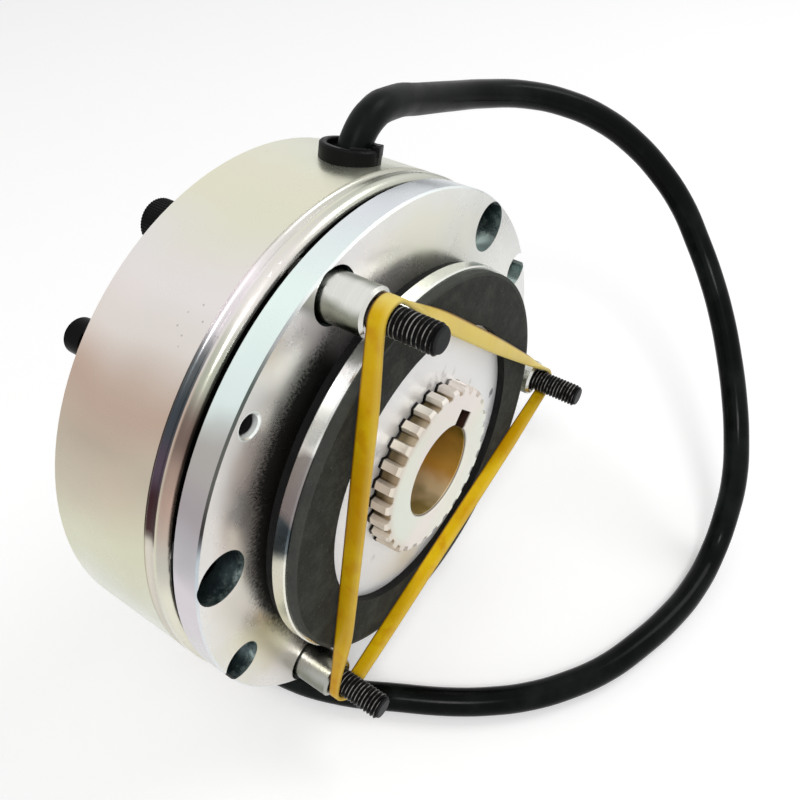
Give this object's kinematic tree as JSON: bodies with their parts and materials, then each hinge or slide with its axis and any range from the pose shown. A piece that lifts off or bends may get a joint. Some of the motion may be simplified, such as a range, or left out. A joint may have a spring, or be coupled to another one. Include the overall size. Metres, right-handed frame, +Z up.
{
  "type": "electromagnetic motor brake",
  "caption": "Spring-applied electromagnetic disc brake with a toothed hub, a lined rotor, spacer sleeves with mounting screws and a side cable.",
  "frame": {"origin": "middle of the brake's footprint on the surface, under the shaft axis, with the brake lying on its rim and the cable left out", "axes": "+Z up, -Y out of the front, where the motor's end shield and shaft come, along the shaft axis; +X to the right seen from the front"},
  "size_m": [0.2456, 0.2568, 0.1757],
  "materials": {
    "zinc_passivated_body": "pale zinc plating with a faint sheen of yellow, green and pink over turned steel",
    "bobbin_plastic": "moulded natural nylon",
    "enamelled_copper": "layers of enamelled copper wire",
    "resin": "poured dark resin",
    "spring_steel": "plain spring wire",
    "zinc_plate": "bluish white zinc plating with a faint sheen",
    "black_screw": "black oxide with an oily sheen",
    "satin_steel": "turned steel, satin",
    "bright_core": "bright turned metal",
    "friction_lining": "dark grey pressed fibre, dull",
    "zinc_hub": "cream white zinc plating, golden brown in the bore",
    "gland_plastic": "black moulded plastic",
    "cable_sheath": "black sheath with a satin surface",
    "tie_nylon": "black nylon",
    "core_brown": "brown insulation",
    "core_blue": "blue insulation",
    "ferrule_tin": "tin plated copper",
    "elastic_rubber": "translucent amber rubber"
  },
  "bodies": {
    "magnet": {"housing": "zinc_passivated_body", "coil_bobbin": "bobbin_plastic", "coil_winding": "enamelled_copper", "coil_potting": "resin", "torque_spring_1": "spring_steel", "torque_spring_2": "spring_steel", "torque_spring_3": "spring_steel", "torque_spring_4": "spring_steel", "torque_spring_5": "spring_steel", "torque_spring_6": "spring_steel", "sleeve_a": "satin_steel", "sleeve_b": "satin_steel", "sleeve_c": "satin_steel", "mounting_screw_a": "black_screw", "mounting_screw_b": "black_screw", "mounting_screw_c": "black_screw", "cable_gland": "gland_plastic", "cable": "cable_sheath", "cable_coil": "cable_sheath", "cable_tie": "tie_nylon", "core_wire_1": "core_brown", "core_wire_2": "core_blue", "ferrule_1": "ferrule_tin", "ferrule_2": "ferrule_tin", "elastic_band": "elastic_rubber"},
    "armature": {"armature_plate": "zinc_plate", "retaining_screw_a": "black_screw", "retaining_screw_b": "black_screw"},
    "hub": {"hub": "zinc_hub"},
    "rotor": {"rotor_core": "bright_core", "rear_lining": "friction_lining", "front_lining": "friction_lining"}
  },
  "joints": [
    {"name": "armature_slide", "type": "slide", "parent": "magnet", "child": "armature", "axis": [0, 1, 0], "range_m": [-0.0009, 0.00195], "stiffness_N_per_m": 40000, "deforming": ["torque_spring_1", "torque_spring_2", "torque_spring_3", "torque_spring_4", "torque_spring_5", "torque_spring_6"]},
    {"name": "hub_spin", "type": "hinge", "parent": "magnet", "child": "hub", "pos_m": [0, -0.0163, 0.083], "axis": [0, 1, 0], "continuous": true},
    {"name": "rotor_slide", "type": "slide", "parent": "hub", "child": "rotor", "axis": [0, 1, 0], "range_m": [0, 0.002]}
  ]
}
